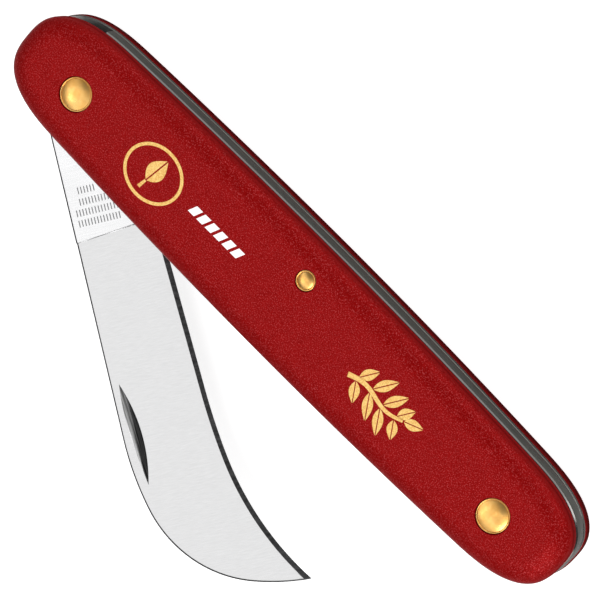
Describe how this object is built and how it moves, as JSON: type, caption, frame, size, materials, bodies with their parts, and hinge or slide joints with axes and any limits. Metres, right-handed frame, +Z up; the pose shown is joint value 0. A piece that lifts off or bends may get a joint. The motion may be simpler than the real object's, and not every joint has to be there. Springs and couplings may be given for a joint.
{
  "type": "folding grafting and pruning knife",
  "caption": "Folding garden knife: hooked steel blade on a slip-joint back spring between aluminium liners and rounded red nylon scales, riveted with domed brass caps.",
  "frame": {"origin": "centre of the flat outer face of the back scale, which the closed or open knife lies on, under the middle of the handle", "axes": "+X along the handle from the blade pivot end to the butt, +Y towards the back spring, +Z up through the thickness towards the front scale, the one with the printed marks and the blade's nail nick"},
  "size_m": [0.0994, 0.0452, 0.0118],
  "materials": {
    "scale_nylon": "fine-grained moulded red nylon with a soft satin sheen",
    "liner_aluminium": "rolled sheet, satin, with bright blanked edges",
    "spring_steel": "hardened and ground along its length, grey satin",
    "blade_steel": "stainless, finely polished faces with a ground cutting bevel",
    "rivet_brass": "polished, lightly handled",
    "gold_print": "gold pad print on the front scale",
    "white_print": "white pad print on the front scale"
  },
  "bodies": {
    "handle": {"back_scale": "scale_nylon", "back_liner": "liner_aluminium", "front_liner": "liner_aluminium", "front_scale": "scale_nylon", "pivot_pin": "rivet_brass", "pivot_cap_front": "rivet_brass", "pivot_cap_back": "rivet_brass", "middle_pin": "rivet_brass", "middle_cap_front": "rivet_brass", "middle_cap_back": "rivet_brass", "butt_pin": "rivet_brass", "butt_cap_front": "rivet_brass", "butt_cap_back": "rivet_brass"},
    "blade": {"blade": "blade_steel"},
    "spring": {"back_spring": "spring_steel"}
  },
  "joints": [
    {"name": "blade_pivot", "type": "hinge", "parent": "handle", "child": "blade", "pos_m": [-0.0389, -0.00055, 0.0059], "axis": [0, 0, 1], "range_deg": [-146.5, 25.4]},
    {"name": "spring_flex", "type": "hinge", "parent": "handle", "child": "spring", "pos_m": [0.03921, -0.00069, 0.0059], "axis": [0, 0, -1], "range_deg": [0, 0.4], "stiffness_Nm_per_rad": 0.5, "springref_deg": -1.15}
  ]
}
